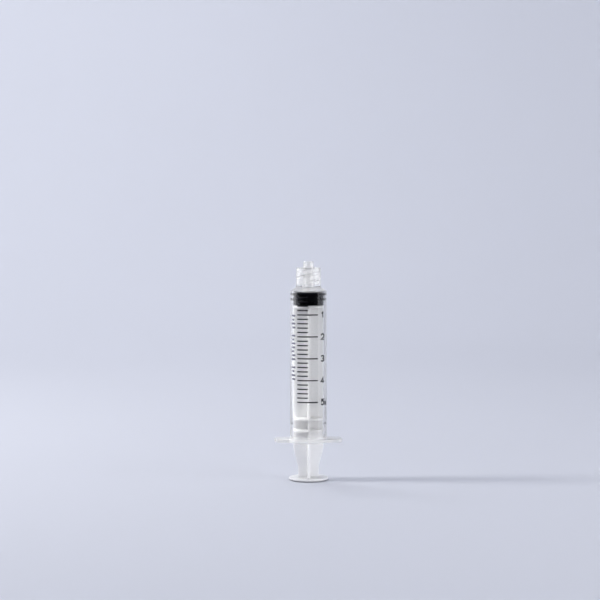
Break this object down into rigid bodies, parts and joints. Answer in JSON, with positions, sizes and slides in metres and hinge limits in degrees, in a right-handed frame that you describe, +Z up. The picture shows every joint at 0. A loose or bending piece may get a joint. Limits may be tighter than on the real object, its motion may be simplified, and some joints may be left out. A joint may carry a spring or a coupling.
{
  "type": "luer-lock syringe",
  "caption": "Clear luer-lock syringe with a finger flange, printed scale, black rubber stopper and ribbed white plunger rod that slides and turns in the barrel.",
  "frame": {"origin": "centre of the thumb disc's underside, on the surface that the syringe stands on", "axes": "+Z up the syringe's axis to the nozzle, X along the finger flange, -Y towards the printed scale"},
  "size_m": [0.0262, 0.0176, 0.084],
  "materials": {
    "clear_plastic": "clear, polished",
    "white_plastic": "translucent white, satin",
    "black_rubber": "smooth, slightly oiled",
    "black_ink": "printed ink",
    "grey_ink": "thin printed ink"
  },
  "bodies": {
    "plunger_rod": {"plunger_rod": "white_plastic"},
    "stopper": {"stopper": "black_rubber"},
    "barrel": {"barrel": "clear_plastic", "major_graduations": "black_ink", "minor_graduations": "black_ink", "numerals": "black_ink", "unit_mark": "black_ink", "side_marks": "grey_ink"}
  },
  "joints": [
    {"name": "rod_turn", "type": "hinge", "parent": "plunger_rod", "child": "stopper", "pos_m": [0, 0, 0.07], "axis": [0, 0, 1], "continuous": true},
    {"name": "barrel_slide", "type": "slide", "parent": "stopper", "child": "barrel", "axis": [0, 0, 1], "range_m": [0, 0.046]}
  ]
}
